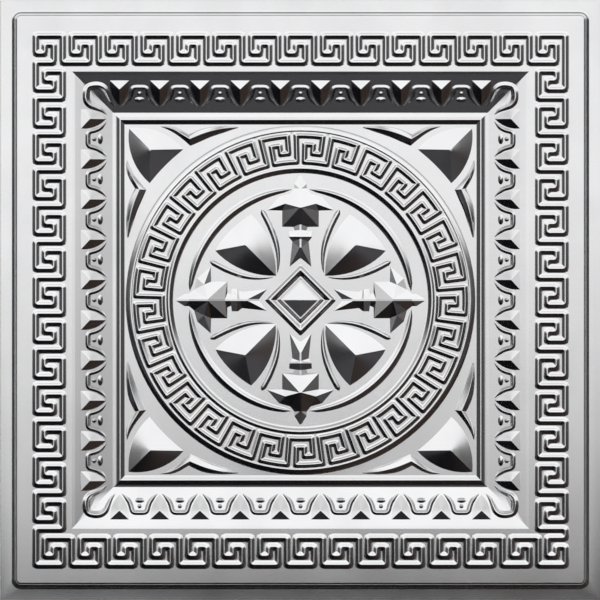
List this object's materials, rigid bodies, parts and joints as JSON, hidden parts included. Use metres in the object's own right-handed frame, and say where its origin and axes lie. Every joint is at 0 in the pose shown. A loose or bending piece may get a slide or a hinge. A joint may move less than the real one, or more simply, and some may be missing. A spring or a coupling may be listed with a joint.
{
  "type": "pressed tin ceiling tile",
  "caption": "Square lay-in ceiling tile pressed from one thin metal sheet, with a level flange, a key border, a leaf cove and a round medallion.",
  "frame": {"origin": "middle of the tile, on the plane of the flange's back face", "axes": "+Z out of the decorated face, +Y towards the tile's top side as pictured, +X to its right"},
  "size_m": [0.603, 0.603, 0.0141],
  "materials": {
    "tinplate": "bright satin tinplate, lightly rubbed, no paint"
  },
  "bodies": {
    "root": {"pressed_sheet": "tinplate"}
  },
  "joints": []
}
